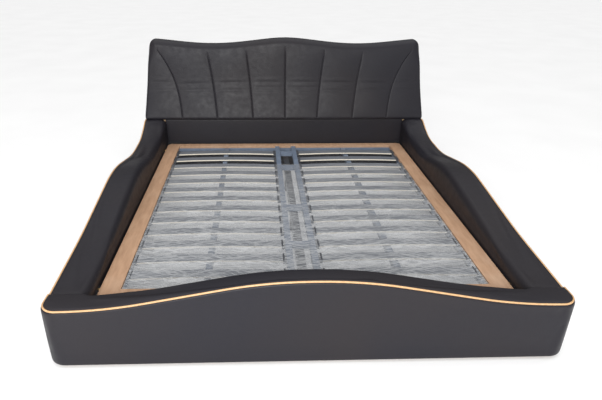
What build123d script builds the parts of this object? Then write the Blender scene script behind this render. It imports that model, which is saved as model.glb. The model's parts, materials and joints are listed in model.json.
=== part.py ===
"""Upholstered double bed with a wavy padded headboard, low curved side rails, a curved
footboard and a loose slatted deck.

Frame: millimetres, +X to the right seen from the foot end, +Y towards the headboard, +Z up.
The origin is on the floor, at the middle of the bed's footprint.
"""
from build123d import *
import os
from math import atan2, cos, radians, sin

# ---------------------------------------------------------------- driving dimensions
WIDTH = 2140.0                 # over the side rails
LENGTH = 2340.0                # footboard's front to headboard's back
FLOOR_GAP = 14.0               # under every upholstered piece: the height of the glides
MATTRESS_WIDTH = 1800.0        # the deck is made to this standard mattress
MATTRESS_LENGTH = 2000.0
DECK_TOP = 215.0               # height of the deck that the mattress lies on
DECK_MID_Y = -20.0             # the deck's centre along the bed

RAIL_WIDTH = 155.0             # side rail, outer face to inner face
FOOT_DEPTH = 120.0             # footboard, front face to inner face
FOOT_CORNER_R = 70.0           # footboard's upright corners, in plan
HEAD_BASE_DEPTH = 145.0        # headboard's lower part, front face to back face
HEAD_BASE_TOP = 402.0          # where the upper cushion starts
COVER = 10.0                   # outer cover: board wrapped in thin foam and leather
INNER_COVER = 8.0              # cover on the faces that look into the mattress well
TOP_PAD = 25.0                 # foam and leather on top of the rails and footboard
SHOULDER_R = 30.0              # rounded inner top edge of the pads
PIPING_R = 4.0
PIPING_DROP = 4.6              # the outer covers stop this far under the crest, below the piping
PLANK = 18.0                   # plywood and planks inside

# crest lines: corner points and fillet radii
RAIL_CREST = [(-1050, 267), (-620, 299), (30, 390), (500, 303), (810, 317), (980, 398), (1025, 398)]
RAIL_CREST_R = [3000, 1000, 900, 450, 60]
FOOT_CREST_HALF = [(183, 401), (827, 277)]
FOOT_CREST_R = 1800.0
HEAD_CREST_HALF = [(50, 990), (430, 946), (640, 946)]
HEAD_CREST_R = [800, 1700, 1700]
HEAD_CORNER = (1001.0, 984.0)  # upper corner of the headboard, before it is rounded
HEAD_CORNER_R = 45.0
HEAD_FOOT_X = 1068.0           # half width of the upper cushion at its lower edge
CUSHION_FRONT = [(996, 402), (1066, 640), (1092, 1000)]   # concave front, from the side (y, z)
CUSHION_FRONT_R = 700.0

BOARD_WIDTH = 90.0             # tan boards at the deck's sides and foot
HEAD_BOARD_WIDTH = 45.0
BOARD_CORNER_R = 30.0          # the deck's two upright corners at the head
BOARD = 20.0
TUBE = 30.0                    # square steel tube of the slat frame
CENTRE_TUBE_WIDTH = 32.0
TUBE_WALL = 1.5
CENTRE_TUBE_X = 61.0
QUARTER_TUBE_X = 447.0
SIDE_TUBE_X = 825.0
END_TUBE_Y = (-925.0, 970.0)   # from the deck's centre
CENTRE_TUBE_TOP = DECK_TOP - 6
TIE_Y = [809, 524, -111, -538]  # short ties between the two centre tubes

SLATS_PER_SIDE = 13
SLAT_PITCH = 134.5
SLAT_WIDTH = 60.0
SLAT = 8.0
SLAT_RISE = 8.0                # height of each slat's arch
SLAT_TOP = DECK_TOP - 12       # at the slat's ends
SLAT_INNER_X = 80.0
SLAT_OUTER_X = 806.0
CAP_LENGTH = 18.0
CAP_TOP = DECK_TOP - 7
CAP_HEIGHT = 19.0
FILM = 0.6
FILM_Z = DECK_TOP - 3

BRACKET = 4.0
BRACKET_RAIL_LEG = 165.0
BRACKET_END_LEG = 100.0
BRACKET_Z = (140.0, 222.0)
BOLT_R = 4.0
BOLT_HEAD_R = 7.0
BOLT_HEAD = 5.0
BOLT_LENGTH = 34.0

LEDGE = 40.0                   # steel angle that carries the deck along each rail
LEDGE_GAP = 0.1                # clearance between the loose deck and what it rests on
BATTEN = 24.0
BATTEN_WIDTH = (60.0, 46.0)     # under the deck's foot and head ends
BEAM_WIDTH = 40.0
BEAM_HEIGHT = 60.0
GLIDE_R = 18.0

# ---------------------------------------------------------------- derived places
HALF_WIDTH = WIDTH / 2
FRONT_Y = -LENGTH / 2
BACK_Y = LENGTH / 2
RAIL_INNER_X = HALF_WIDTH - RAIL_WIDTH
FOOT_INNER_Y = FRONT_Y + FOOT_DEPTH
HEAD_FRONT_Y = BACK_Y - HEAD_BASE_DEPTH
LOWER_PANEL_Y = HEAD_FRONT_Y - 12
BACK_COVER = 5.0
PANEL_Y = (BACK_Y - BACK_COVER - PLANK, BACK_Y - BACK_COVER)
BOARD_UNDER = DECK_TOP - BOARD
TUBE_UNDER = BOARD_UNDER - TUBE
OPENING_X = MATTRESS_WIDTH / 2 - BOARD_WIDTH
OPENING_Y = (BOARD_WIDTH - MATTRESS_LENGTH / 2, MATTRESS_LENGTH / 2 - HEAD_BOARD_WIDTH)
FIRST_SLAT_Y = DECK_MID_Y + 19 - SLAT_PITCH * (SLATS_PER_SIDE - 1) / 2
CENTRE_TUBE_UNDER = CENTRE_TUBE_TOP - TUBE

nodes = {}


# ---------------------------------------------------------------- helpers
def block(x, y, z):
    """A box from three (low, high) pairs."""
    size = [high - low for low, high in (x, y, z)]
    middle = [(high + low) / 2 for low, high in (x, y, z)]
    return Pos(*middle) * Box(*size)


def face_under(line, base):
    """The face between an open line in XY and the level y = base."""
    start, end = line @ 0, line @ 1
    return make_face(line + Polyline((start.X, start.Y), (start.X, base), (end.X, base), (end.X, end.Y)))


def across(face, x):
    """Extrudes a (y, z) face between two values of x."""
    return extrude(Plane.YZ.offset(x[0]) * face, x[1] - x[0])


def along(face, y):
    """Extrudes an (x, z) face between two values of y."""
    return extrude(Plane.XZ.offset(-y[1]) * face, y[1] - y[0])


def tube(x, y, z, axis):
    """A rectangular tube along an axis, open at both ends."""
    core = [[low + TUBE_WALL, high - TUBE_WALL] for low, high in (x, y, z)]
    core["xyz".index(axis)] = [(x, y, z)["xyz".index(axis)][0] - 1, (x, y, z)["xyz".index(axis)][1] + 1]
    return block(x, y, z) - block(*core)


def mirrored(shape):
    return mirror(shape, about=Plane.YZ)


def group(shapes):
    return Compound(children=[solid for shape in shapes for solid in shape.solids()])


def symmetric(points):
    """A crest's half, (x, z) from the middle outwards, made whole from left to right."""
    return [(-x, z) for x, z in reversed(points)] + list(points)


# ---------------------------------------------------------------- corner bolts
def bolt(place):
    """A bolt along +Z of its place: the head is below zero, the shank above."""
    head = Pos(0, 0, -BOLT_HEAD / 2) * Cylinder(BOLT_HEAD_R, BOLT_HEAD)
    shank = Pos(0, 0, BOLT_LENGTH / 2) * Cylinder(BOLT_R, BOLT_LENGTH)
    return place * (head + shank)


def corner_hardware(end_y, inward):
    """Bracket and bolts in the right-hand corner of the well, at one end of the bed.

    inward is +1 at the foot and -1 at the head: the way from that end into the well."""
    rail_leg_y = sorted((end_y, end_y + inward * BRACKET_RAIL_LEG))
    end_leg_y = sorted((end_y, end_y + inward * BRACKET))
    rail_leg = block((RAIL_INNER_X - BRACKET, RAIL_INNER_X), rail_leg_y, BRACKET_Z)
    end_leg = block((RAIL_INNER_X - BRACKET_END_LEG, RAIL_INNER_X), end_leg_y, BRACKET_Z)
    bolts = []
    for reach, z in ((140, 200), (50, 165)):
        at = (RAIL_INNER_X - BRACKET, end_y + inward * reach, z)
        bolts.append(bolt(Plane(origin=at, x_dir=(0, 1, 0), z_dir=(1, 0, 0))))
    for reach, z in ((38, 200), (78, 165)):
        at = (RAIL_INNER_X - reach, end_y + inward * BRACKET, z)
        bolts.append(bolt(Plane(origin=at, x_dir=(1, 0, 0), z_dir=(0, -inward, 0))))
    bolts = group(bolts)
    return rail_leg + end_leg - bolts, bolts


foot_bracket, foot_bolts = corner_hardware(FOOT_INNER_Y, 1)
head_bracket, head_bolts = corner_hardware(LOWER_PANEL_Y, -1)
right_bolts = group([foot_bolts, head_bolts])
all_bolts = group([right_bolts, mirrored(right_bolts)])
nodes["corner_brackets"] = group([foot_bracket, head_bracket, mirrored(foot_bracket), mirrored(head_bracket)])
nodes["corner_bolts"] = all_bolts


# ---------------------------------------------------------------- side rails
def rail_body(x, drop):
    """A stretch of the rail's side outline between two values of x, its crest lowered by drop."""
    crest = FilletPolyline(*[(y, z - drop) for y, z in RAIL_CREST], radius=RAIL_CREST_R)
    return across(face_under(crest, FLOOR_GAP), x)


core_x = (RAIL_INNER_X + INNER_COVER, HALF_WIDTH - COVER)
rail_planks = [rail_body((core_x[0], core_x[0] + PLANK), TOP_PAD), rail_body((core_x[1] - PLANK, core_x[1]), TOP_PAD)]
rail_blocks = [block((core_x[0] + PLANK, core_x[1] - PLANK), (y - 30, y + 30), (FLOOR_GAP, 225))
               for y in (-1020, -510, -20, 480, 995)]
rail_core = group([piece - right_bolts for piece in rail_planks + rail_blocks])

pad_solid = rail_body((RAIL_INNER_X, core_x[1]), 0)
shoulder = [edge for edge in pad_solid.edges()
            if abs(edge.center().X - RAIL_INNER_X) < 0.01 and edge.center().Z > 250
            and abs(edge.tangent_at(0.5).Y) > 0.5]
rail_pad = fillet(shoulder, SHOULDER_R) - rail_body(core_x, TOP_PAD) - right_bolts
rail_cover = rail_body((HALF_WIDTH - COVER, HALF_WIDTH), PIPING_DROP)

crest_line = FilletPolyline(*RAIL_CREST, radius=RAIL_CREST_R)
piping_path = Plane.YZ.offset(HALF_WIDTH - COVER + PIPING_R) * crest_line
rail_piping = sweep(Plane(origin=piping_path @ 0, z_dir=piping_path % 0) * Circle(PIPING_R), path=piping_path)
rail_piping &= block((0, HALF_WIDTH), (FOOT_INNER_Y, HEAD_FRONT_Y), (FLOOR_GAP, HEAD_BASE_TOP))

for name, shape in (("core", rail_core), ("pad", rail_pad), ("outer_cover", rail_cover), ("piping", rail_piping)):
    nodes[f"right_rail_{name}"] = shape
    nodes[f"left_rail_{name}"] = mirrored(shape)


# ---------------------------------------------------------------- footboard
def foot_plan(inset):
    """The footboard's plan, inset from its outer face, as a tall solid."""
    left, right, front = -HALF_WIDTH + inset, HALF_WIDTH - inset, FRONT_Y + inset
    outline = FilletPolyline((left, FOOT_INNER_Y), (left, front), (right, front), (right, FOOT_INNER_Y),
                             radius=FOOT_CORNER_R - inset)
    face = make_face(outline + Line((right, FOOT_INNER_Y), (left, FOOT_INNER_Y)))
    return extrude(Pos(0, 0, FLOOR_GAP) * face, 500)


def foot_crest(drop):
    """The solid under the footboard's crest, lowered by drop."""
    flat = FOOT_CREST_HALF[-1][1]
    points = symmetric(FOOT_CREST_HALF + [(HALF_WIDTH + 5, flat)])
    line = FilletPolyline(*[(x, z - drop) for x, z in points], radius=FOOT_CREST_R)
    return along(face_under(line, FLOOR_GAP), (FRONT_Y - 5, FOOT_INNER_Y))


foot_inside = foot_plan(COVER)
nodes["footboard_front_cover"] = (foot_plan(0) - foot_inside) & foot_crest(PIPING_DROP)

core_y = (FRONT_Y + COVER, FOOT_INNER_Y - INNER_COVER)
foot_core_region = foot_inside & foot_crest(TOP_PAD) & block(
    (-HALF_WIDTH, HALF_WIDTH), (FRONT_Y, core_y[1]), (0, 500))
front_plank_y = (FRONT_Y, core_y[0] + PLANK)
back_plank_y = (core_y[1] - PLANK, core_y[1])
between_planks = (front_plank_y[1], back_plank_y[0])
foot_pieces = [foot_core_region & block((-HALF_WIDTH, HALF_WIDTH), y, (0, 500))
               for y in (front_plank_y, back_plank_y)]
foot_pieces += [foot_core_region & block((x - 35, x + 35), between_planks, (0, 235))
                for x in (-1000, -400, 400, 1000)]
nodes["footboard_core"] = group([piece - all_bolts for piece in foot_pieces])
nodes["footboard_pad"] = (foot_inside & foot_crest(0)) - foot_core_region - all_bolts

# piping: up the side, round the corner, over the crest and back
edge_x, edge_y = HALF_WIDTH - COVER + PIPING_R, FRONT_Y + COVER - PIPING_R
bend = FOOT_CORNER_R - COVER + PIPING_R
level = FOOT_CREST_HALF[-1][1]
front_points = symmetric(FOOT_CREST_HALF + [(edge_x - bend, level)])
front_run = Plane.XZ.offset(-edge_y) * FilletPolyline(*front_points, radius=FOOT_CREST_R)
off_corner = bend * (1 - cos(radians(45)))
right_bend = ThreePointArc(
    (edge_x - bend, edge_y, level),
    (edge_x - off_corner, edge_y + off_corner, level),
    (edge_x, edge_y + bend, level))
left_bend = mirrored(right_bend)
right_run = Line((edge_x, edge_y + bend, level), (edge_x, FOOT_INNER_Y, level))
left_run = mirrored(right_run)
foot_edges = [edge for run in (left_run, left_bend, front_run, right_bend, right_run) for edge in run.edges()]
foot_path = Wire(foot_edges)
nodes["footboard_piping"] = sweep(
    Plane(origin=foot_path @ 0, z_dir=foot_path % 0) * Circle(PIPING_R), path=foot_path)


# ---------------------------------------------------------------- headboard
def head_outline(inset, y):
    """The headboard above its base, inset from its edges, between two values of y."""
    side_dx = HEAD_FOOT_X - HEAD_CORNER[0]
    lean = atan2(side_dx, HEAD_CORNER[1] - HEAD_BASE_TOP)
    foot_x = HEAD_FOOT_X - inset / cos(lean)
    corner_x = HEAD_CORNER[0] - inset * (1 / cos(lean) - sin(lean))
    crest = [(x, z - inset) for x, z in HEAD_CREST_HALF] + [(corner_x, HEAD_CORNER[1] - inset)]
    radii = HEAD_CREST_R + [HEAD_CORNER_R - inset]
    points = symmetric(crest + [(foot_x, HEAD_BASE_TOP)])
    line = FilletPolyline(*points, radius=radii[::-1] + radii)
    face = make_face(line + Line((foot_x, HEAD_BASE_TOP), (-foot_x, HEAD_BASE_TOP)))
    return along(face, y)


PANEL_INSET = 14.0
base_x = HEAD_FOOT_X - BACK_COVER
base_panel = block((-base_x, base_x), PANEL_Y, (FLOOR_GAP, HEAD_BASE_TOP))
panel = base_panel + head_outline(PANEL_INSET, PANEL_Y)
nodes["headboard_panel"] = panel

front_line = FilletPolyline(*CUSHION_FRONT, radius=CUSHION_FRONT_R)
cushion_back = PANEL_Y[1]
cushion_side = make_face(front_line + Polyline(
    CUSHION_FRONT[-1], (cushion_back, CUSHION_FRONT[-1][1]), (cushion_back, HEAD_BASE_TOP), CUSHION_FRONT[0]))
cushion = across(cushion_side, (-HALF_WIDTH, HALF_WIDTH)) & head_outline(0, (CUSHION_FRONT[0][0] - 20, BACK_Y))
nodes["headboard_cushion"] = cushion - panel

END_POST = 18.0
POST_WIDTH = 50.0
POST_X = 872.0
post_y = (HEAD_FRONT_Y, PANEL_Y[0])
top_batten_z = (HEAD_BASE_TOP - PLANK, HEAD_BASE_TOP)
battens = [block((-base_x, base_x), post_y, top_batten_z)]
for side in (-1, 1):
    end_x = sorted((side * base_x, side * (base_x - END_POST)))
    battens.append(block(end_x, post_y, (FLOOR_GAP, top_batten_z[0])))
    post_x = (side * POST_X - POST_WIDTH / 2, side * POST_X + POST_WIDTH / 2)
    battens.append(block(post_x, post_y, (FLOOR_GAP, top_batten_z[0])) - all_bolts)
nodes["headboard_battens"] = group(battens)

lower_panel = block((-RAIL_INNER_X, RAIL_INNER_X), (LOWER_PANEL_Y, HEAD_FRONT_Y), (FLOOR_GAP, HEAD_BASE_TOP))
nodes["headboard_lower_panel"] = lower_panel - all_bolts

back_cover_y = (PANEL_Y[1], BACK_Y)
back_cover = head_outline(BACK_COVER, back_cover_y)
back_cover += block((-HEAD_FOOT_X, HEAD_FOOT_X), back_cover_y, (FLOOR_GAP, HEAD_BASE_TOP))
for side in (-1, 1):
    wrap_x = sorted((side * base_x, side * HEAD_FOOT_X))
    back_cover += block(wrap_x, (HEAD_FRONT_Y, PANEL_Y[1]), (FLOOR_GAP, HEAD_BASE_TOP))
nodes["headboard_back_cover"] = back_cover


# ---------------------------------------------------------------- what carries the deck
def deck_ledge():
    """Steel angle along the right rail, between the corner brackets."""
    y = (FOOT_INNER_Y + BRACKET_RAIL_LEG + 15, LOWER_PANEL_Y - BRACKET_RAIL_LEG - 15)
    top = BOARD_UNDER - LEDGE_GAP
    shelf = block((RAIL_INNER_X - LEDGE, RAIL_INNER_X), y, (top - BRACKET, top))
    return shelf + block((RAIL_INNER_X - BRACKET, RAIL_INNER_X), y, (top - LEDGE, top))


nodes["side_ledges"] = group([deck_ledge(), mirrored(deck_ledge())])

batten_x = (-RAIL_INNER_X + BRACKET_END_LEG + 15, RAIL_INNER_X - BRACKET_END_LEG - 15)
batten_z = (BOARD_UNDER - LEDGE_GAP - BATTEN, BOARD_UNDER - LEDGE_GAP)
nodes["end_battens"] = group([
    block(batten_x, (FOOT_INNER_Y, FOOT_INNER_Y + BATTEN_WIDTH[0]), batten_z),
    block(batten_x, (LOWER_PANEL_Y - BATTEN_WIDTH[1], LOWER_PANEL_Y), batten_z)])

beam_z = (TUBE_UNDER - LEDGE_GAP - BEAM_HEIGHT, TUBE_UNDER - LEDGE_GAP)
nodes["centre_beam"] = tube((-BEAM_WIDTH / 2, BEAM_WIDTH / 2), (FOOT_INNER_Y, LOWER_PANEL_Y), beam_z, "y")

LEG_R = 19.0
LEG_FOOT_R = 28.0
LEG_FOOT = 12.0
legs = []
for leg_y in (-620, -20, 580):
    foot_pad = Pos(0, leg_y, LEG_FOOT / 2) * Cylinder(LEG_FOOT_R, LEG_FOOT)
    legs.append(foot_pad + Pos(0, leg_y, beam_z[0] / 2) * Cylinder(LEG_R, beam_z[0]))
nodes["centre_legs"] = group(legs)

rail_mid_x = HALF_WIDTH - RAIL_WIDTH / 2
foot_mid_y = (core_y[0] + core_y[1]) / 2
head_mid_y = (HEAD_FRONT_Y + PANEL_Y[1]) / 2
glide_places = [(x, foot_mid_y) for x in (-rail_mid_x, -400, 400, rail_mid_x)]
glide_places += [(x, y) for x in (-rail_mid_x, rail_mid_x) for y in (-510, 480)]
glide_places += [(x, head_mid_y) for x in (-base_x + GLIDE_R, -POST_X, POST_X, base_x - GLIDE_R)]
nodes["glides"] = group([Pos(x, y, FLOOR_GAP / 2) * Cylinder(GLIDE_R, FLOOR_GAP) for x, y in glide_places])

# ---------------------------------------------------------------- loose deck: slat frame
tube_z = (TUBE_UNDER, BOARD_UNDER)
end_tube_y = [(DECK_MID_Y + y - TUBE / 2, DECK_MID_Y + y + TUBE / 2) for y in END_TUBE_Y]
between_ends = (end_tube_y[0][1], end_tube_y[1][0])


def long_tube(x, width, z):
    return tube((x - width / 2, x + width / 2), between_ends, z, "y")


centre_z = (CENTRE_TUBE_UNDER, CENTRE_TUBE_TOP)
tie_x = (-CENTRE_TUBE_X + CENTRE_TUBE_WIDTH / 2, CENTRE_TUBE_X - CENTRE_TUBE_WIDTH / 2)
side_tubes = group([long_tube(x, TUBE, tube_z) for x in (-SIDE_TUBE_X, SIDE_TUBE_X)])
inner_tubes = [long_tube(x, TUBE, tube_z) for x in (-QUARTER_TUBE_X, QUARTER_TUBE_X)]
inner_tubes += [long_tube(x, CENTRE_TUBE_WIDTH, centre_z) for x in (-CENTRE_TUBE_X, CENTRE_TUBE_X)]
cross_x = (-SIDE_TUBE_X - TUBE / 2, SIDE_TUBE_X + TUBE / 2)
cross_tubes = [tube(cross_x, y, tube_z, "x") for y in end_tube_y]
cross_tubes += [tube(tie_x, (y - TUBE / 2, y + TUBE / 2), centre_z, "x") for y in TIE_Y]


# ---------------------------------------------------------------- loose deck: boards and screws
def deck_screw(x, y):
    """A screw up through a tube into the board above it."""
    head = Pos(x, y, TUBE_UNDER - 2) * Cylinder(6, 4)
    shank_top = BOARD_UNDER + 12
    return head + Pos(x, y, (TUBE_UNDER + shank_top) / 2) * Cylinder(2.5, shank_top - TUBE_UNDER)


screws = [deck_screw(x, DECK_MID_Y + y) for x in (-SIDE_TUBE_X, SIDE_TUBE_X) for y in (-750, -250, 250, 750)]
screws += [deck_screw(x, DECK_MID_Y + y) for x in (-600, -200, 200, 600) for y in END_TUBE_Y]
screws = group(screws)
nodes["deck_screws"] = screws
nodes["slat_frame_side_tubes"] = side_tubes - screws
nodes["slat_frame_inner_tubes"] = group(inner_tubes)
nodes["slat_frame_cross_tubes"] = group(cross_tubes) - screws

half_w, half_l = MATTRESS_WIDTH / 2, MATTRESS_LENGTH / 2
board_z = (BOARD_UNDER, DECK_TOP)
side_y = (DECK_MID_Y - half_l, DECK_MID_Y + half_l)
side_board = block((OPENING_X, half_w), side_y, board_z)
head_edges = side_board.edges().filter_by(Axis.Z).group_by(Axis.Y)[-1]
side_board = fillet(head_edges.sort_by(Axis.X)[-1], BOARD_CORNER_R)
nodes["deck_left_board"] = mirrored(side_board) - screws
nodes["deck_right_board"] = side_board - screws
for name, y in (("foot", (-half_l, OPENING_Y[0])), ("head", (OPENING_Y[1], half_l))):
    board_y = (DECK_MID_Y + y[0], DECK_MID_Y + y[1])
    nodes[f"deck_{name}_board"] = block((-OPENING_X, OPENING_X), board_y, board_z) - screws


# ---------------------------------------------------------------- loose deck: slats, caps and film
def right_slat():
    """One arched slat on the right half, centred on y = 0."""
    mid_x = (SLAT_INNER_X + SLAT_OUTER_X) / 2
    upper = ThreePointArc((SLAT_INNER_X, SLAT_TOP), (mid_x, SLAT_TOP + SLAT_RISE), (SLAT_OUTER_X, SLAT_TOP))
    lower = Pos(0, -SLAT) * upper
    ends = Line(upper @ 1, lower @ 1) + Line(lower @ 0, upper @ 0)
    return along(make_face(upper + lower + ends), (-SLAT_WIDTH / 2, SLAT_WIDTH / 2))


def right_caps(slat):
    """The holders at the two ends of the right slat: one on each tube, with a pocket for the slat."""
    inner_face = CENTRE_TUBE_X + CENTRE_TUBE_WIDTH / 2
    outer_face = SIDE_TUBE_X - TUBE / 2
    cap_y = (-SLAT_WIDTH / 2 - 3, SLAT_WIDTH / 2 + 3)
    cap_z = (CAP_TOP - CAP_HEIGHT, CAP_TOP)
    spans = ((inner_face, inner_face + CAP_LENGTH), (outer_face - CAP_LENGTH, outer_face))
    return [block(x, cap_y, cap_z) - slat for x in spans]


slat = right_slat()
caps = right_caps(slat)
all_caps = []
for number in range(SLATS_PER_SIDE):
    place = Pos(0, FIRST_SLAT_Y + number * SLAT_PITCH, 0)
    nodes[f"slat_right_{number + 1:02d}"] = place * slat
    nodes[f"slat_left_{number + 1:02d}"] = place * mirrored(slat)
    for cap in caps:
        all_caps += [place * cap, place * mirrored(cap)]
nodes["slat_caps"] = group(all_caps)

film_x = OPENING_X - 2
film_y = (DECK_MID_Y + OPENING_Y[0] + 2, DECK_MID_Y + OPENING_Y[1] - 2)
nodes["slat_film"] = block((-film_x, film_x), film_y, (FILM_Z, FILM_Z + FILM))

# ---------------------------------------------------------------- write one STEP per node
os.makedirs("parts", exist_ok=True)
for name, shape in nodes.items():
    export_step(shape, f"parts/{name}.step")
print(len(nodes), "nodes written")
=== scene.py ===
import json
from math import cos, exp, hypot, pi, radians, sin, sqrt

import bpy
from mathutils import Matrix, Vector, noise
from mathutils.bvhtree import BVHTree


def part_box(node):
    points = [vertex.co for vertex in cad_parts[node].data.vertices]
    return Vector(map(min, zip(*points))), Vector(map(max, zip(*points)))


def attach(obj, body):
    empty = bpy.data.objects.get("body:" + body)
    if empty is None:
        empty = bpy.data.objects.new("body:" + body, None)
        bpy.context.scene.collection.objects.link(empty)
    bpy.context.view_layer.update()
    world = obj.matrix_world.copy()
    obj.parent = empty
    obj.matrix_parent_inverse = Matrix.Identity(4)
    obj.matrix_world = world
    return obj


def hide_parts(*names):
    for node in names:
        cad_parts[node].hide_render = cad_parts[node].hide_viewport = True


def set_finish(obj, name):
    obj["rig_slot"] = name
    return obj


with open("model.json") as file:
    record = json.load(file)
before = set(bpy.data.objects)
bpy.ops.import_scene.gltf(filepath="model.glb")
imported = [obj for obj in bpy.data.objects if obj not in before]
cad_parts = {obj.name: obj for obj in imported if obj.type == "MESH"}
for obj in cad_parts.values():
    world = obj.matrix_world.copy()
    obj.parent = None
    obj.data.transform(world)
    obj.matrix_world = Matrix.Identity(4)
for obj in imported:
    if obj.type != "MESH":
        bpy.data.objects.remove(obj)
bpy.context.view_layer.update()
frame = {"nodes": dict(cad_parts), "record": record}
scene = bpy.context.scene

FRAME_BODY = "bed_frame"
DECK_BODY = "slat_deck"


# ================================================================ camera
def make_camera():
    """The photograph's view: a 30 mm lens, a little left of the bed's middle, looking down on it."""
    board_low, board_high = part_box("deck_left_board")
    camera = bpy.data.objects.new("camera", bpy.data.cameras.new("camera"))
    scene.collection.objects.link(camera)
    camera.location = (-0.2143, (board_low.y + board_high.y) / 2 - 2.7304, board_high.z + 1.2854)
    yaw, pitch, roll = 0.0369, 0.4434, 0.0075
    aimed = Matrix.Rotation(-yaw, 4, "Z") @ Matrix.Rotation(pi / 2 - pitch, 4, "X")
    camera.rotation_euler = (aimed @ Matrix.Rotation(roll, 4, "Z")).to_euler()
    camera.data.sensor_width = 36
    camera.data.lens = 30.07
    camera.data.shift_x = 0.044
    scene.camera = camera


make_camera()


# ================================================================ materials
class Nodes:
    """A new material's node tree, with short calls for the nodes used here."""

    def __init__(self, name):
        self.material = bpy.data.materials.new(name)
        self.material.use_nodes = True
        self.tree = self.material.node_tree
        self.shader = self.tree.nodes["Principled BSDF"]
        self.place = self.tree.nodes.new("ShaderNodeTexCoord").outputs["Object"]

    def link(self, output, target):
        self.tree.links.new(output, target)

    def set(self, **values):
        for name, value in values.items():
            self.shader.inputs[name.replace("_", " ")].default_value = value

    def stretched(self, scale, turn=(0, 0, 0)):
        mapping = self.tree.nodes.new("ShaderNodeMapping")
        self.link(self.place, mapping.inputs["Vector"])
        mapping.vector_type = "TEXTURE"
        mapping.inputs["Scale"].default_value = [1 / value for value in scale]
        mapping.inputs["Rotation"].default_value = turn
        return mapping.outputs["Vector"]

    def noise(self, scale, detail=4, roughness=0.5, vector=None, distortion=0.0):
        n = self.tree.nodes.new("ShaderNodeTexNoise")
        self.link(vector or self.place, n.inputs["Vector"])
        n.inputs["Scale"].default_value = scale
        n.inputs["Detail"].default_value = detail
        n.inputs["Roughness"].default_value = roughness
        n.inputs["Distortion"].default_value = distortion
        return n.outputs["Fac"]

    def cells(self, scale, vector=None, feature="F1"):
        n = self.tree.nodes.new("ShaderNodeTexVoronoi")
        n.feature = feature
        self.link(vector or self.place, n.inputs["Vector"])
        n.inputs["Scale"].default_value = scale
        return n.outputs["Distance"]

    def ramp(self, value, *stops):
        n = self.tree.nodes.new("ShaderNodeValToRGB")
        elements = n.color_ramp.elements
        while len(elements) < len(stops):
            elements.new(0.5)
        for element, (at, colour) in zip(elements, stops):
            element.position = at
            element.color = (*colour, 1) if len(colour) == 3 else colour
        self.link(value, n.inputs["Fac"])
        return n.outputs["Color"]

    def span(self, value, low, high, to_low, to_high):
        n = self.tree.nodes.new("ShaderNodeMapRange")
        self.link(value, n.inputs["Value"])
        for name, v in (("From Min", low), ("From Max", high), ("To Min", to_low), ("To Max", to_high)):
            n.inputs[name].default_value = v
        return n.outputs["Result"]

    def maths(self, operation, a, b):
        n = self.tree.nodes.new("ShaderNodeMath")
        n.operation = operation
        for socket, v in zip(n.inputs, (a, b)):
            if isinstance(v, (int, float)):
                socket.default_value = v
            else:
                self.link(v, socket)
        return n.outputs["Value"]

    def mix(self, share, a, b, blend="MIX"):
        n = self.tree.nodes.new("ShaderNodeMix")
        n.data_type, n.blend_type = "RGBA", blend
        sockets = [n.inputs[i] for i in (0, 6, 7)]
        for socket, v in zip(sockets, (share, a, b)):
            if isinstance(v, (int, float)):
                socket.default_value = v
            elif isinstance(v, tuple):
                socket.default_value = (*v, 1)
            else:
                self.link(v, socket)
        return n.outputs[2]

    def axis(self, output, name):
        n = self.tree.nodes.new("ShaderNodeSeparateXYZ")
        self.link(output, n.inputs[0])
        return n.outputs[name]

    def bump(self, height, distance, strength=1.0, normal=None):
        n = self.tree.nodes.new("ShaderNodeBump")
        self.link(height, n.inputs["Height"])
        n.inputs["Distance"].default_value = distance
        n.inputs["Strength"].default_value = strength
        if normal:
            self.link(normal, n.inputs["Normal"])
        return n.outputs["Normal"]

    def colour(self, output):
        self.link(output, self.shader.inputs["Base Color"])

    def rough(self, output):
        self.link(output, self.shader.inputs["Roughness"])

    def normal(self, output):
        self.link(output, self.shader.inputs["Normal"])


def leather():
    """Black-brown leather: fine grain, faint creases, patches that lean warm or cool."""
    n = Nodes("dark_leather")
    patches = n.noise(1.6, detail=2)
    grain = n.noise(650, detail=2, roughness=0.7)
    tone = n.ramp(patches, (0.34, (0.0168, 0.0160, 0.0215)), (0.66, (0.0205, 0.0178, 0.0208)))
    n.colour(n.mix(n.span(grain, 0.36, 0.5, 0.45, 0.0), tone, (0.006, 0.005, 0.006)))
    n.rough(n.span(n.noise(30, detail=3), 0.3, 0.7, 0.42, 0.52))
    creases = n.bump(n.noise(75, detail=4, roughness=0.6), 0.0006, 0.45)
    n.normal(n.bump(grain, 0.0002, 0.5, normal=creases))
    n.set(Specular_IOR_Level=0.26)
    return n.material


def piping_leather():
    n = Nodes("gold_piping")
    n.colour(n.ramp(n.noise(60, detail=4), (0.3, (0.56, 0.33, 0.155)), (0.7, (0.65, 0.41, 0.215))))
    n.rough(n.span(n.noise(300), 0.3, 0.7, 0.36, 0.5))
    n.normal(n.bump(n.cells(700), 0.0003, 0.5))
    return n.material


def board():
    """Tan wrapped board: fine lengthwise fibres and scattered scuffs."""
    n = Nodes("tan_board")
    fibres = n.noise(46, detail=7, roughness=0.66, vector=n.stretched((1.0, 0.16, 1.0)))
    worn = n.noise(5, detail=6, roughness=0.6)
    tone = n.ramp(fibres, (0.28, (0.34, 0.195, 0.112)), (0.52, (0.42, 0.252, 0.152)),
                  (0.75, (0.50, 0.315, 0.195)))
    n.colour(n.mix(n.span(worn, 0.5, 0.75, 0.0, 0.35), tone, (0.55, 0.40, 0.29)))
    n.rough(n.span(worn, 0.3, 0.7, 0.5, 0.68))
    n.normal(n.bump(fibres, 0.0006, 0.5))
    return n.material


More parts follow.
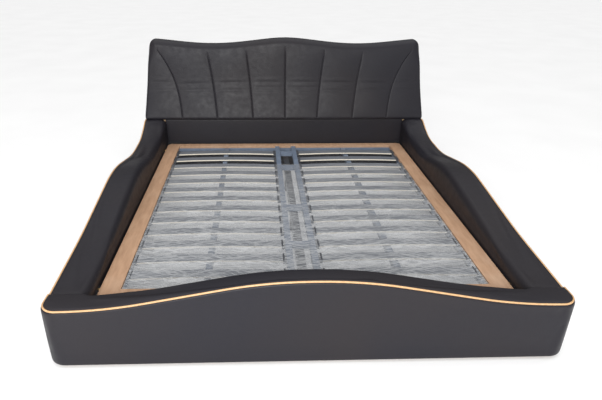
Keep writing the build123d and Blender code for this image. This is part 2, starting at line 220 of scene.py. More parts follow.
def slat_wood():
    """Birch ply slat: grey-blue foil on its broad faces, cream layers on its edges."""
    n = Nodes("birch_slat")
    grain = n.noise(38, detail=6, vector=n.stretched((0.12, 1.0, 1.0)))
    layers = n.noise(9, detail=2, vector=n.stretched((1.0, 1.0, 90.0)))
    foil = n.ramp(grain, (0.3, (0.105, 0.115, 0.135)), (0.7, (0.150, 0.160, 0.180)))
    edge = n.ramp(layers, (0.35, (0.78, 0.70, 0.56)), (0.65, (0.90, 0.85, 0.74)))
    facing = n.axis(n.tree.nodes.new("ShaderNodeNewGeometry").outputs["True Normal"], "Z")
    broad = n.span(n.maths("ABSOLUTE", facing, 0.0), 0.55, 0.65, 0.0, 1.0)
    n.colour(n.mix(broad, edge, foil))
    n.rough(n.span(grain, 0.3, 0.7, 0.42, 0.6))
    n.normal(n.bump(grain, 0.0004, 0.4))
    return n.material


def powder_coat(name, dark, light, shine):
    n = Nodes(name)
    n.colour(n.ramp(n.noise(14, detail=5), (0.3, dark), (0.7, light)))
    n.rough(n.span(n.noise(180, detail=2), 0.3, 0.7, shine, shine + 0.12))
    n.normal(n.bump(n.noise(900, detail=2), 0.00025, 0.6))
    return n.material


def metal(name, dark, light, shine):
    n = Nodes(name)
    n.colour(n.ramp(n.noise(220, detail=4), (0.3, dark), (0.7, light)))
    n.rough(n.span(n.noise(500, detail=3), 0.3, 0.7, shine, shine + 0.15))
    n.normal(n.bump(n.noise(1200, detail=2), 0.0001, 0.5))
    n.set(Metallic=1.0)
    return n.material


def plywood():
    n = Nodes("raw_plywood")
    grain = n.noise(20, detail=8, roughness=0.65, vector=n.stretched((1.0, 0.14, 0.4)))
    layers = n.noise(4, detail=1, vector=n.stretched((60.0, 1.0, 1.0)))
    tone = n.ramp(grain, (0.25, (0.36, 0.23, 0.12)), (0.75, (0.60, 0.43, 0.27)))
    n.colour(n.mix(n.span(layers, 0.45, 0.55, 0.0, 0.22), tone, (0.25, 0.15, 0.08)))
    n.rough(n.span(grain, 0.3, 0.7, 0.6, 0.8))
    n.normal(n.bump(grain, 0.0006, 0.5))
    return n.material


def moulded_plastic():
    n = Nodes("black_plastic")
    n.colour(n.ramp(n.noise(30, detail=3), (0.3, (0.040, 0.043, 0.050)), (0.7, (0.055, 0.058, 0.066))))
    n.rough(n.span(n.noise(400, detail=2), 0.3, 0.7, 0.42, 0.58))
    n.normal(n.bump(n.noise(1500), 0.0001, 0.5))
    return n.material


def packing_film():
    """Thin clear film, wrinkled in fine lines: hazy towards the foot and clear at the head, its haze partly
    the film's own and partly painted reflection, its lines painted lighter as painted glints.
    """
    n = Nodes("clear_film")
    along = n.axis(n.place, "Y")
    streaks = []
    for turn, fineness in ((17, 34), (-24, 42), (4, 60)):
        field = n.noise(1.0, detail=3, roughness=0.6, distortion=0.3,
                        vector=n.stretched((2.6, fineness, 1.0), (0, 0, radians(turn))))
        ridge = n.maths("ABSOLUTE", n.maths("SUBTRACT", field, 0.5), 0.0)
        streaks.append(n.span(ridge, 0.0, 0.045, 1.0, 0.0))
    # The film's creases: they shape the bump and roughness, and the colour paints them lighter as painted
    # glints.
    lines = n.maths("MAXIMUM", n.maths("MAXIMUM", streaks[0], streaks[1]), streaks[2])
    toward_foot = n.span(along, 0.56, 0.10, 0.0, 1.0)
    # Haze that rises towards the foot and stops at the head: partly the film's own haze, partly painted
    # reflection.
    haze_and_painted_reflection = n.span(along, 0.50, -0.75, 0.24, 0.38)
    haze_reach = n.span(along, 0.56, 0.545, 0.0, 1.0)
    # Painted glints: the creases are made more opaque towards the foot.
    painted_glints = n.maths("MULTIPLY", n.maths("MULTIPLY", lines, toward_foot), 0.20)
    veil = n.maths("ADD", n.maths("MULTIPLY", haze_and_painted_reflection, haze_reach), painted_glints)
    n.link(n.maths("ADD", veil, 0.045), n.shader.inputs["Alpha"])
    # Painted glints: the colour is lighter along the creases.
    n.colour(n.ramp(lines, (0.2, (0.30, 0.315, 0.34)), (0.9, (0.58, 0.59, 0.60))))
    n.rough(n.span(lines, 0.0, 1.0, 0.22, 0.10))
    n.normal(n.bump(lines, 0.0010, 0.6))
    n.set(Specular_IOR_Level=0.9)
    return n.material


leather_skin = leather()
gold = piping_leather()
film_clear = packing_film()
by_slot = {
    "leather": leather_skin,
    "piping": gold,
    "deck_board": board(),
    "slat_wood": slat_wood(),
    "frame_steel": powder_coat("blue_grey_steel", (0.115, 0.15, 0.21), (0.16, 0.20, 0.27), 0.36),
    "black_steel": powder_coat("black_steel", (0.012, 0.012, 0.014), (0.022, 0.022, 0.025), 0.34),
    "brass": metal("yellow_brass", (0.60, 0.38, 0.14), (0.78, 0.54, 0.24), 0.26),
    "zinc": metal("zinc", (0.50, 0.51, 0.53), (0.66, 0.67, 0.69), 0.3),
    "plastic": moulded_plastic(),
    "plywood": plywood(),
    "film": film_clear,
}


def dress_cad_nodes():
    """Each CAD node gets its slot's finish, and sheared or moulded ones a small edge radius."""
    slots = {part["node"]: part["material_slot"] for part in frame["record"]["subparts"]}
    edge_radius = {"deck_board": 0.0022, "slat_wood": 0.0012, "frame_steel": 0.0018, "black_steel": 0.001,
                   "plastic": 0.0015, "plywood": 0.001}
    for name, node in frame["nodes"].items():
        node.data.materials.clear()
        node.data.materials.append(by_slot[slots[name]])
        if slots[name] in edge_radius:
            bevel = node.modifiers.new("edges", "BEVEL")
            bevel.width = edge_radius[slots[name]]
            bevel.segments = 2
            bevel.limit_method = "ANGLE"
            bevel.angle_limit = radians(50)
            bevel.harden_normals = True


dress_cad_nodes()


# ================================================================ shapes read from the frame
def surface_of(node):
    """A search tree over a CAD node's surface, for rays."""
    mesh = frame["nodes"][node].data
    return BVHTree.FromPolygons([v.co for v in mesh.vertices], [p.vertices for p in mesh.polygons])


def evened(values, passes):
    """The values with small steps between neighbours evened out; the ends stay."""
    for _ in range(passes):
        inner = [(a + 2 * b + c) / 4 for a, b, c in zip(values, values[1:], values[2:])]
        values = [values[0]] + inner + [values[-1]]
    return values


class Crest:
    """The height of a CAD node's top along one axis, read by rays and evened out."""

    def __init__(self, node, points, passes=24):
        tree = surface_of(node)
        self.values = []
        for x, y in points:
            hit = tree.ray_cast(Vector((x, y, 3.0)), Vector((0, 0, -1)))[0]
            self.values.append(hit.z)
        self.values = evened(self.values, passes)

    def __call__(self, share):
        """Height at a share, 0 to 1, of the way along."""
        at = min(max(share, 0.0), 1.0) * (len(self.values) - 1)
        low = min(int(at), len(self.values) - 2)
        return self.values[low] + (self.values[low + 1] - self.values[low]) * (at - low)


# ================================================================ soft pieces: making a mesh
def new_piece(name, points, faces, body, slot, material):
    mesh = bpy.data.meshes.new(name)
    mesh.from_pydata(points, [], faces)
    mesh.validate()
    for polygon in mesh.polygons:
        polygon.use_smooth = True
    mesh.materials.append(material)
    piece = bpy.data.objects.new(name, mesh)
    scene.collection.objects.link(piece)
    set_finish(piece, slot)
    piece["body_name"] = body
    return piece


def grid_faces(rows, columns):
    """Quads over a grid of points held row by row."""
    return [(r * columns + c, r * columns + c + 1, (r + 1) * columns + c + 1, (r + 1) * columns + c)
            for r in range(rows - 1) for c in range(columns - 1)]


def sheet_piece(name, grid, outward, body=FRAME_BODY, slot="leather", material=None):
    """A sheet over rows of points, its faces turned to look outward at its middle."""
    rows, columns = len(grid), len(grid[0])
    points = [point for row in grid for point in row]
    faces = grid_faces(rows, columns)
    middle = faces[len(faces) // 2 + columns // 2]
    a, b, c, _ = (Vector(points[i]) for i in middle)
    if (b - a).cross(c - b).dot(Vector(outward)) < 0:
        faces = [tuple(reversed(face)) for face in faces]
    return new_piece(name, points, faces, body, slot, material or leather_skin)


SIM_FRAMES = 18


def inflate(piece, held, pressure, cap, stiffness=50):
    """Puffs the piece between its held points with cloth simulation; no point moves further than cap."""
    group = piece.vertex_groups.new(name="held")
    group.add(held, 1.0, "REPLACE")
    cloth = piece.modifiers.new("cloth", "CLOTH")
    settings = cloth.settings
    settings.vertex_group_mass = "held"
    settings.use_pressure = True
    settings.uniform_pressure_force = pressure
    settings.tension_stiffness = settings.compression_stiffness = stiffness
    settings.shear_stiffness = stiffness
    settings.bending_stiffness = 4
    settings.mass = 0.4
    settings.quality = 5
    settings.effector_weights.gravity = 0
    cloth.collision_settings.use_collision = False
    cloth.point_cache.frame_end = SIM_FRAMES
    for step in range(1, SIM_FRAMES + 1):
        scene.frame_set(step)
    evaluated = piece.evaluated_get(bpy.context.evaluated_depsgraph_get())
    for vertex, moved in zip(piece.data.vertices, evaluated.data.vertices):
        shift = moved.co - vertex.co
        if shift.length > cap:
            shift *= cap / shift.length
        vertex.co += shift
    piece.modifiers.remove(cloth)
    scene.frame_set(1)


def finish_soft(piece, thickness, replaced, subdivide=0):
    if thickness:
        solid = piece.modifiers.new("thickness", "SOLIDIFY")
        solid.thickness = thickness
        solid.offset = -1
    if subdivide:
        smooth = piece.modifiers.new("smooth", "SUBSURF")
        smooth.levels = smooth.render_levels = subdivide
    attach(piece, piece["body_name"])
    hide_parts(*replaced)


def mirrored_piece(piece, name):
    """The left-hand copy of a right-hand sheet."""
    mesh = piece.data.copy()
    mesh.transform(Matrix.Scale(-1, 4, (1, 0, 0)))
    mesh.flip_normals()
    mesh.name = name
    other = bpy.data.objects.new(name, mesh)
    scene.collection.objects.link(other)
    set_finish(other, piece["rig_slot"])
    other["body_name"] = piece["body_name"]
    return other


def steps(count, first=0.0, last=1.0):
    """Evenly spaced values, both ends included."""
    return [first + (last - first) * i / (count - 1) for i in range(count)]


def rippled(point, size, strength, seed):
    """A small smooth push for leather that isn't dead flat."""
    return strength * noise.noise(Vector(point) / size + Vector((seed, seed * 1.7, seed * 0.3)))


# ================================================================ headboard cushion
HEAD_TOP_HALF = 1.001     # half the headboard's width at its upper corners
HEAD_CORNER = 0.045       # radius of those corners
SEAMS = [(0.0, 0.0, 0.0), (0.245, 0.294, 0.1), (0.517, 0.580, 0.1), (0.782, 0.965, 0.65)]   # for seam_x
EDGE_ROUND = 0.018        # rounding of the cushion's sides and lower edge
TOP_ROUND = 0.050         # rounding of its upper edge
LOWER_LIP = 0.0045        # how far the lower front edge hangs over the joint with the base
LEAST_WING = 0.015        # the outer seams stay this far inside the edge
BOTTOM_BOW = 0.008        # how far the lower edge's middle bows forward
GROOVE = 0.0080           # depth pressed in along a seam, and beside it
GROOVE_SIDE = 0.0010
CUSHION_ROWS = 54
CHANNEL = [0.0, 0.010, 0.030] + [i / 15 for i in range(1, 15)] + [0.970, 0.990]   # columns in a channel


def seam_x(foot_x, head_x, curl, v):
    """x of a seam at a share v of the way up: nearly upright below, leaning out towards the top."""
    return foot_x + (head_x - foot_x) * ((1 - curl) * v ** 1.2 + curl * v ** 3)


def headboard_cushion():
    """The channelled cushion: a grid that follows the seams in front, rounded walls and a flat back."""
    low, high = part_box("headboard_cushion")
    half_foot, half_head = high.x, HEAD_TOP_HALF
    crest = Crest("headboard_cushion", [(half_foot * (s * 2 - 1) * 0.905, (low.y + high.y) / 2 + 0.04)
                                        for s in steps(140)], passes=30)
    front = surface_of("headboard_cushion")
    profile_z = steps(60, low.z + 0.004, high.z - 0.06)
    hits = [front.ray_cast(Vector((0, low.y - 1, z)), Vector((0, 1, 0)))[0] for z in profile_z]
    profile_y = evened([hit.y for hit in hits], 20)

    def front_y(z):
        share = (z - profile_z[0]) / (profile_z[-1] - profile_z[0])
        at = min(max(share, 0.0), 1.0) * (len(profile_z) - 1)
        i = min(int(at), len(profile_z) - 2)
        return profile_y[i] + (profile_y[i + 1] - profile_y[i]) * (at - i)

    def half_width(z):
        return half_foot + (half_head - half_foot) * (z - low.z) / (high.z - low.z)

    def inset(v):
        """How far in from the outline the front face ends: wider towards the top."""
        t = min(max((v - 0.70) / 0.30, 0.0), 1.0)
        return EDGE_ROUND + (TOP_ROUND - EDGE_ROUND) * t * t * (3 - 2 * t)

    right = SEAMS[1:]
    seams = [(-foot_x, -head_x, curl) for foot_x, head_x, curl in reversed(right)] + SEAMS
    channels = len(seams) + 1
    places = [k + t for k in range(channels) for t in CHANNEL] + [channels]
    columns = len(places)

    grid = []
    for v in steps(CUSHION_ROWS):
        row = []
        for place in places:
            z = low.z + EDGE_ROUND + v * (high.z - low.z - EDGE_ROUND - TOP_ROUND)
            for _ in range(3):
                side = half_width(z) - inset(v)
                limit = side - LEAST_WING
                lines = [min(max(seam_x(*seam, v), -limit), limit) for seam in seams]
                lines = [-side] + lines + [side]
                k = min(int(place), len(lines) - 2)
                x = lines[k] + (lines[k + 1] - lines[k]) * (place - k)
                top = crest((x / (half_foot * 0.905) + 1) / 2) - TOP_ROUND
                z = low.z + EDGE_ROUND + v * (top - low.z - EDGE_ROUND)
            bow = -BOTTOM_BOW * (1 - (x / half_foot) ** 2) * (1 - v) ** 2
            row.append(Vector((x, front_y(z) + bow, z)))
        grid.append(row)

    points = [point for row in grid for point in row]
    faces = grid_faces(CUSHION_ROWS, columns)

    def index(r, c):
        return r * columns + c

    last_row, last_column = CUSHION_ROWS - 1, columns - 1
    loop = [(index(0, c), Vector((0, 0, -1)), 0.0) for c in range(1, last_column)]
    loop += [(index(r, last_column), Vector((1, 0, 0)), r / last_row) for r in range(CUSHION_ROWS)]
    loop += [(index(last_row, c), Vector((0, 0, 1)), 1.0) for c in range(last_column - 1, 0, -1)]
    loop += [(index(r, 0), Vector((-1, 0, 0)), r / last_row) for r in range(last_row, -1, -1)]
    count = len(loop)
    outward = [direction for _, direction, _ in loop]
    for _ in range(3):
        outward = [(outward[i - 1] + 2 * outward[i] + outward[(i + 1) % count]).normalized()
                   for i in range(count)]

    rings = [[source for source, _, _ in loop]]
    back = high.y - 0.002
    arc = [(sin(a), 1 - cos(a)) for a in steps(7, 0, pi / 2)[1:]]
    for out, deep in arc + [(1.0, None)] * 3:
        walls = max(0, len(rings) - len(arc))
        ring = []
        for (source, _, v), direction in zip(loop, outward):
            reach = inset(v)
            base = points[source]
            if deep is not None:
                y = base.y + reach * deep
            else:
                y = base.y + reach + (back - base.y - reach) * walls / 3
            ring.append(len(points))
            hang = LOWER_LIP * max(0.0, -direction.z) * (walls < 2)
            points.append(Vector((base.x, y, base.z)) + direction * (out * (reach + hang)))
        rings.append(ring)
    for inner, outer in zip(rings, rings[1:]):
        for i in range(count):
            j = (i + 1) % count
            faces.append((inner[j], inner[i], outer[i], outer[j]))
    behind = dict(zip(rings[0], rings[-1]))
    for source in range(CUSHION_ROWS * columns):
        if source not in behind:
            behind[source] = len(points)
            points.append(Vector((points[source].x, back, points[source].z)))
    faces += [tuple(behind[i] for i in reversed(face)) for face in grid_faces(CUSHION_ROWS, columns)]

    piece = new_piece("headboard_cushion_pad", points, faces, FRAME_BODY, "leather", leather_skin)
    seam_columns = [k * len(CHANNEL) for k in range(1, channels)]
    seam_rows = int(0.985 * last_row)
    held = set(range(CUSHION_ROWS * columns, len(points))) | set(rings[0])
    held |= {index(r, c + k) for c in seam_columns for k in (-1, 0, 1) for r in range(seam_rows)}
    inflate(piece, sorted(held), pressure=9, cap=0.013)
    for c in seam_columns:
        for r in range(CUSHION_ROWS):
            fade = min(1.0, max(0.0, (1 - r / last_row) / 0.14))
            for offset, depth in ((-1, GROOVE_SIDE), (0, GROOVE), (1, GROOVE_SIDE)):
                piece.data.vertices[index(r, c + offset)].co.y += depth * fade
    finish_soft(piece, 0, ["headboard_cushion"], subdivide=1)


headboard_cushion()


# ================================================================ side rails
END_MARGIN = 0.002        # rays for a crest start and stop this far inside the ends
PINNED_BELOW = 0.235      # padding under this height is held still while it is inflated


def rail_crest(node, x):
    """The height of a rail's top along its length, read at one x."""
    low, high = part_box(node)
    return Crest(node, [(x, y) for y in steps(150, low.y + END_MARGIN, high.y - END_MARGIN)])


def rail_stations(node, ends, margin, count):
    """Places along a rail as (y, how far the skin drops there): its two rounded ends and between them."""
    low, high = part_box(node)
    between = [(y, 0.0) for y in steps(count, low.y + margin, high.y - margin)]
    return ([(low.y + inset, drop) for inset, drop in ends] + between
            + [(high.y - inset, drop) for inset, drop in reversed(ends)])


def right_rail_pad():
    """The padded top, round shoulder and inner face of both rails; the left one is the mirrored right."""
    low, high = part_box("right_rail_pad")
    top = rail_crest("right_rail_pad", (low.x + high.x) / 2 + 0.01)
    shoulder, crown, hem = 0.038, 0.003, 0.012
    ends = [(0.0, 0.011), (0.0006, 0.006), (0.0025, 0.0025), (0.006, 0.0007), (0.012, 0.0)]
    grid = []
    for y, drop in rail_stations("right_rail_pad", ends, 0.026, 150):
        height = top((y - low.y) / (high.y - low.y))
        row = [Vector((high.x - 0.001 - drop, y, height - 0.010)),
               Vector((high.x - 0.0015 - drop, y, height - 0.003 - drop))]
        across = steps(12, high.x - 0.005, low.x + shoulder)
        span = across[0] - across[-1]
        for x in across:
            t = (across[0] - x) / span
            row.append(Vector((x - drop * (1 - t), y, height - drop + crown * 4 * t * (1 - t) * 0.6)))
        for a in steps(9, 0, pi / 2)[1:]:
            x = low.x + shoulder - (shoulder - drop) * sin(a)
            row.append(Vector((x, y, height - shoulder + (shoulder - drop) * cos(a))))
        bottom = low.z + 0.002
        for z in steps(18, height - shoulder, bottom + hem)[1:]:
            row.append(Vector((low.x + drop, y, z)))
        row.append(Vector((low.x + drop + 0.002, y, bottom + 0.002)))
        row.append(Vector((low.x + 0.02, y, bottom)))
        grid.append(row)
    piece = sheet_piece("right_rail_padding", grid, (-1, 0, 0))
    columns = len(grid[0])
    held = []
    for r, row in enumerate(grid):
        for c, point in enumerate(row):
            at_end = r < len(ends) + 1 or r >= len(grid) - len(ends) - 1
            if at_end or c < 3 or point.z < PINNED_BELOW:
                held.append(r * columns + c)
    inflate(piece, held, pressure=3, cap=0.006)
    other = mirrored_piece(piece, "left_rail_padding")
    finish_soft(piece, 0.005, ["right_rail_pad"])
    finish_soft(other, 0.005, ["left_rail_pad"])


def right_rail_outside():
    """The leather on the outer face of both rails."""
    low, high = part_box("right_rail_outer_cover")
    top = rail_crest("right_rail_outer_cover", (low.x + high.x) / 2)
    ends = [(0.0, 0.006), (0.0008, 0.003), (0.003, 0.001), (0.008, 0.0)]
    grid = []
    for y, drop in rail_stations("right_rail_outer_cover", ends, 0.02, 140):
        height = top((y - low.y) / (high.y - low.y)) - 0.0005
        row = [Vector((high.x - 0.009, y, height - 0.001)),
               Vector((high.x - 0.005 - drop * 0.5, y, height)),
               Vector((high.x - 0.002 - drop, y, height - 0.002)),
               Vector((high.x - 0.0005 - drop, y, height - 0.006))]
        for z in steps(24, height - 0.014, low.z + 0.012):
            row.append(Vector((high.x - drop, y, z)))
        row.append(Vector((high.x - 0.001 - drop, y, low.z + 0.004)))
        row.append(Vector((high.x - 0.004 - drop, y, low.z + 0.0008)))
        row.append(Vector((high.x - 0.009, y, low.z + 0.0005)))
        grid.append(row)
    piece = sheet_piece("right_rail_outside", grid, (1, 0, 0))
    columns = len(grid[0])
    held = [r * columns + c for r in range(len(grid)) for c in range(columns)
            if r < 4 or r >= len(grid) - 4 or c < 3 or c >= columns - 3]
    inflate(piece, held, pressure=2, cap=0.004)
    other = mirrored_piece(piece, "left_rail_outside")
    finish_soft(piece, 0.003, ["right_rail_outer_cover"])
    finish_soft(other, 0.003, ["left_rail_outer_cover"])


right_rail_pad()
right_rail_outside()


# ================================================================ footboard
def footboard_top():
    """The padded top and inner face of the footboard; its shoulder is rounder inside the mattress well."""
    low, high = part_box("footboard_pad")
    corner, well_half = 0.060, 0.925
    mid_y = (low.y + high.y) / 2
    crest = Crest("footboard_pad", [(x, mid_y) for x in steps(200, low.x + END_MARGIN, high.x - END_MARGIN)])
    ends = [0.0, 0.0012, 0.004, 0.009, 0.016, 0.025, 0.036, 0.048]
    stations = [low.x + d for d in ends] + steps(180, low.x + 0.062, high.x - 0.062)
    stations += [high.x - d for d in reversed(ends)]
    grid = []
    for x in stations:
        height = crest((x - low.x) / (high.x - low.x))
        over = max(0.0, abs(x) - (high.x - corner))
        front = low.y + corner - sqrt(max(corner ** 2 - over ** 2, 0.0))
        in_well = min(1.0, max(0.0, (well_half - abs(x)) / 0.03))
        shoulder = 0.010 + 0.026 * in_well
        drop = 0.006 * max(0.0, 1 - (high.x - abs(x)) / 0.006) ** 2
        row = [Vector((x, front + 0.001, height - 0.010)),
               Vector((x, front + 0.0015, height - 0.003 - drop))]
        across = steps(12, front + 0.005, high.y - shoulder)
        for y in across:
            t = (y - across[0]) / (across[-1] - across[0])
            row.append(Vector((x, y, height - drop + 0.0022 * 4 * t * (1 - t))))
        for a in steps(8, 0, pi / 2)[1:]:
            y = high.y - shoulder + shoulder * sin(a)
            row.append(Vector((x, y, height - drop - shoulder + shoulder * cos(a))))
        bottom = low.z + 0.002
        for z in steps(16, height - drop - shoulder, bottom + 0.012)[1:]:
            row.append(Vector((x, high.y, z)))
        row.append(Vector((x, high.y - 0.002, bottom + 0.002)))
        row.append(Vector((x, high.y - 0.02, bottom)))
        grid.append(row)
    piece = sheet_piece("footboard_padding", grid, (0, 1, 0))
    columns = len(grid[0])
    held = []
    for r, row in enumerate(grid):
        for c, point in enumerate(row):
            if r < 6 or r >= len(grid) - 6 or c < 3 or point.z < PINNED_BELOW or abs(point.x) > 0.93:
                held.append(r * columns + c)
    inflate(piece, held, pressure=3, cap=0.006)
    finish_soft(piece, 0.005, ["footboard_pad"])


def footboard_front():
    """The leather round the footboard's front and its two upright corners."""
    low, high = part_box("footboard_front_cover")
    corner = 0.070
    flat = steps(200, low.x + corner, high.x - corner)
    crest = Crest("footboard_front_cover", [(x, low.y + 0.005) for x in flat])
    path = [(low.x, high.y - d, (-1, 0)) for d in (0.0, 0.001, 0.003, 0.008, 0.016, 0.026, 0.038)]
    for a in steps(16, 0, pi / 2):
        x, y = low.x + corner - corner * cos(a), low.y + corner - corner * sin(a)
        path.append((x, y, (-cos(a), -sin(a))))
    front = [(x, low.y, (0, -1)) for x in steps(190, low.x + corner, high.x - corner)[1:-1]]
    path = path + front + [(-x, y, (-nx, ny)) for x, y, (nx, ny) in reversed(path)]
    grid = []
    for number, (x, y, (nx, ny)) in enumerate(path):
        share = (x - low.x - corner) / (high.x - low.x - 2 * corner)
        height = crest(share) - 0.0005
        from_end = min(number, len(path) - 1 - number)
        drop = (0.005, 0.0022, 0.0006)[from_end] if from_end < 3 else 0.0

        def at(inset, z):
            return Vector((x - nx * (inset + drop), y - ny * (inset + drop), z))

        row = [at(0.009, height - 0.001), at(0.005, height), at(0.002, height - 0.002),
               at(0.0005, height - 0.006)]
        row += [at(0.0, z) for z in steps(26, height - 0.014, low.z + 0.014)]
        row += [at(0.001, low.z + 0.005), at(0.004, low.z + 0.001), at(0.009, low.z + 0.0005)]
        grid.append(row)
    piece = sheet_piece("footboard_front", grid, (0, -1, 0))
    columns = len(grid[0])
    held = [r * columns + c for r in range(len(grid)) for c in range(columns)
            if r < 5 or r >= len(grid) - 5 or c < 3 or c >= columns - 3]
    inflate(piece, held, pressure=2, cap=0.005)
    finish_soft(piece, 0.003, ["footboard_front_cover"])


footboard_top()
footboard_front()


# ================================================================ headboard: lower panel and back
def panel_grid(low, high, y, facing, edge, crown, top_of):
    """A padded panel in the XZ plane with rounded edges, as rows of points."""
    rim = [(edge * (1 - cos(a)), edge * (1 - sin(a))) for a in steps(5, 0, pi / 2)]
    inner_x = steps(90, low.x + edge, high.x - edge)[1:-1]
    xs = [(low.x + inset, deep) for inset, deep in rim] + [(x, 0.0) for x in inner_x]
    xs += [(high.x - inset, deep) for inset, deep in reversed(rim)]
    grid = []
    for x, deep_x in xs:
        top = top_of(x)
        zs = [(low.z + inset, deep) for inset, deep in rim]
        zs += [(z, 0.0) for z in steps(36, low.z + edge, top - edge)[1:-1]]
        zs += [(top - inset, deep) for inset, deep in reversed(rim)]
        row = []
        for z, deep_z in zs:
            u = 2 * (x - low.x) / (high.x - low.x) - 1
            v = 2 * (z - low.z) / (top - low.z) - 1
            puff = crown * (1 - u ** 8) * (1 - v ** 4)
            deep = min(edge, hypot(deep_x, deep_z))
            ripple = rippled((x, 0, z), 0.35, 0.0012, 3.1) * (1 - u ** 8) * (1 - v ** 8)
            row.append(Vector((x, y + facing * (puff + ripple - deep), z)))
        grid.append(row)
    return grid


def lower_panel():
    """The flat padded panel between the rails, under the cushion."""
    low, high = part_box("headboard_lower_panel")
    top = high.z - 0.0005
    grid = panel_grid(low, high, low.y, -1, 0.007, 0.003, lambda x: top)
    piece = sheet_piece("headboard_lower_padding", grid, (0, -1, 0))
    finish_soft(piece, 0.004, ["headboard_lower_panel"])


lower_panel()


def headboard_back():
    """Leather over the back, seamed where the upper part meets the base, and round the base's sides."""
    low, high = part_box("headboard_back_cover")
    base_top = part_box("headboard_cushion")[0].z
    half_head, corner, edge = HEAD_TOP_HALF, HEAD_CORNER, 0.012
    crest_x = half_head - corner
    crest = Crest("headboard_back_cover", [(x, high.y - 0.0025) for x in steps(140, -crest_x, crest_x)])
    skin = high.y - 0.0008

    def rounded(*distances):
        """How far the skin falls back near an edge."""
        return 0.0038 * max(max(0.0, 1 - d / edge) ** 2 for d in distances)

    grids = []
    back = []
    for u in steps(130, -1.0, 1.0):
        row = []
        for v in steps(80):
            x = u * half_head
            over = max(0.0, abs(x) - crest_x)
            top = crest((x / crest_x + 1) / 2) - corner + sqrt(max(corner ** 2 - over ** 2, 0.0))
            z = low.z + v * (top - low.z)
            lean = max(0.0, (z - base_top) / (high.z - base_top))
            half = high.x + (half_head - high.x) * lean
            if z < base_top:
                puff = 0.0022 * (1 - u ** 8) * abs(sin(pi * min(1.0, (z - low.z) / (base_top - low.z))))
            else:
                puff = 0.0028 * (1 - u ** 8) * sin(pi * (z - base_top) / (top - base_top))
            seam = 0.0030 * exp(-((z - base_top) / 0.005) ** 2)
            y = skin + puff - seam - rounded(half * (1 - abs(u)), z - low.z, top - z)
            row.append(Vector((u * half, y, z)))
        back.append(row)
    grids.append((back, Vector((0, 1, 0))))
    for side in (-1, 1):
        wrap = []
        for y in steps(24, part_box("headboard_panel")[0].y - 0.122, skin - 0.004):
            row = []
            for z in steps(40, low.z, base_top):
                out = high.x - 0.0005 - rounded(skin - y, z - low.z, base_top - z) * 0.5
                row.append(Vector((side * out, y, z)))
            wrap.append(row)
        grids.append((wrap, Vector((side, 0, 0))))

    points, faces = [], []
    for grid, outward in grids:
        start, columns = len(points), len(grid[0])
        points += [point for row in grid for point in row]
        part = [tuple(start + i for i in face) for face in grid_faces(len(grid), columns)]
        a, b, c, _ = (points[i] for i in part[len(part) // 2])
        if (b - a).cross(c - b).dot(outward) < 0:
            part = [tuple(reversed(face)) for face in part]
        faces += part
    piece = new_piece("headboard_back_leather", points, faces, FRAME_BODY, "leather", leather_skin)
    finish_soft(piece, 0.0035, ["headboard_back_cover"])


headboard_back()


# ================================================================ packing film
def film():
    """The film over the slats: it sags a little between them and wrinkles towards its corners."""
    low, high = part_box("slat_film")
    slat_low, slat_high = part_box("slat_right_01")
    second_low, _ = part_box("slat_right_02")
    pitch = second_low.y - slat_low.y
    slat_mid_y = (slat_low.y + slat_high.y) / 2
    arch_mid = (slat_low.x + slat_high.x) / 2
    arch_half = (slat_high.x - slat_low.x) / 2
    arch_rise = 0.008
    slat_end_top = slat_high.z - arch_rise
    slat_half = (slat_high.y - slat_low.y) / 2
    cap_height = 0.2094       # the film comes down to this over the caps on the slats' ends

    def height(x, y):
        t = min(1.0, abs(abs(x) - arch_mid) / arch_half)
        over_slat = slat_end_top + arch_rise * (1 - t * t) + 0.0012
        phase = (y - slat_mid_y) / pitch
        off = abs(phase - round(phase)) * pitch
        gap = max(0.0, (off - slat_half) / (pitch / 2 - slat_half))
        sag = 0.0035 * gap * (2 - gap) * (0.4 + 0.6 * min(1.0, (1 - t) * 3))
        near_cap = max(0.0, (t - 0.90) / 0.10)
        z = over_slat - sag
        z = z + (cap_height - z) * near_cap * near_cap
        foot_side = min(1.0, max(0.0, (0.30 - y) / 0.9))
        fan = noise.noise(Vector((x * 5 + y * 1.6, y * 26 - abs(x) * 7, 2.0)))
        crumple = noise.noise(Vector((x * 16, y * 42, 7.0)))
        edge = min(high.x - abs(x), y - low.y + 0.02)
        near_edge = exp(-max(edge, 0.0) / 0.09)
        wrinkle = 0.0010 * fan * (0.35 + foot_side) + 0.0018 * crumple * near_edge * (0.3 + foot_side)
        return z + abs(wrinkle) + 0.0002

    xs = steps(270, low.x, high.x)
    ys = steps(310, low.y, high.y)
    grid = [[Vector((x, y, height(x, y))) for y in ys] for x in xs]
    piece = sheet_piece("slat_film_wrinkled", grid, (0, 0, 1), DECK_BODY, "film", film_clear)
    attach(piece, DECK_BODY)
    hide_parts("slat_film")


film()


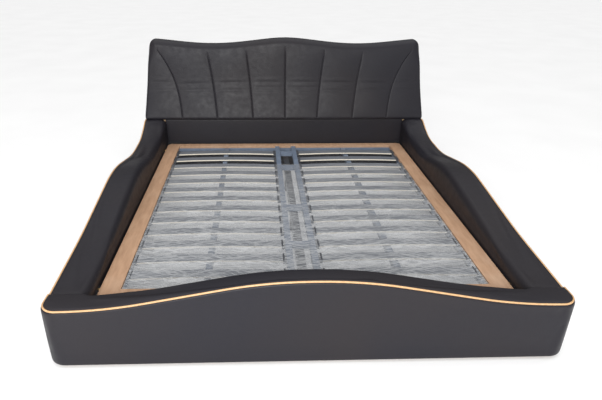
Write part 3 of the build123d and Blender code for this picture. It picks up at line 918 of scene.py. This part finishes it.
# ================================================================ room
def make_room():
    """A bright pale floor, soft lights in front and overhead, and a dim surround that is darkest behind."""
    bpy.ops.mesh.primitive_plane_add(size=160)
    floor = bpy.context.object
    floor.name = "floor"
    n = Nodes("pale_floor")
    n.colour(n.ramp(n.noise(1.5, detail=2), (0.3, (0.80, 0.80, 0.80)), (0.7, (0.83, 0.83, 0.83))))
    n.set(Roughness=0.9, Specular_IOR_Level=0.1, Emission_Color=(1, 1, 1, 1), Emission_Strength=0.12)
    floor.data.materials.append(n.material)

    world = bpy.data.worlds.new("studio")
    scene.world = world
    world.use_nodes = True
    tree = world.node_tree
    direction = tree.nodes.new("ShaderNodeTexCoord").outputs["Generated"]
    split = tree.nodes.new("ShaderNodeSeparateXYZ")
    tree.links.new(direction, split.inputs[0])
    around = tree.nodes.new("ShaderNodeMapRange")
    above = tree.nodes.new("ShaderNodeMapRange")
    for node, source, values in ((around, "Y", (-0.7, 0.5, 0.50, 0.20)),
                                 (above, "Z", (0.60, 0.90, 0.0, 1.5))):
        for name, value in zip(("From Min", "From Max", "To Min", "To Max"), values):
            node.inputs[name].default_value = value
        tree.links.new(split.outputs[source], node.inputs["Value"])
    total = tree.nodes.new("ShaderNodeMath")
    tree.links.new(around.outputs["Result"], total.inputs[0])
    tree.links.new(above.outputs["Result"], total.inputs[1])
    tree.links.new(total.outputs[0], tree.nodes["Background"].inputs["Strength"])
    tree.nodes["Background"].inputs["Color"].default_value = (1, 1, 1, 1)

    for name, place, aim, size, power in (
            ("front", (-0.7, -5.0, 2.3), (-0.15, 0, 0.45), (2.0, 1.4), 185),
            ("front_low", (-1.6, -5.2, 0.9), (-0.3, -1.0, 0.2), (2.2, 1.0), 45)):
        light = bpy.data.objects.new(name, bpy.data.lights.new(name, "AREA"))
        scene.collection.objects.link(light)
        light.data.shape = "RECTANGLE"
        light.data.size, light.data.size_y = size
        light.data.energy = power
        light.location = place
        light.rotation_euler = (Vector(aim) - Vector(place)).to_track_quat("-Z", "Y").to_euler()
    scene.view_settings.view_transform = "Standard"


make_room()
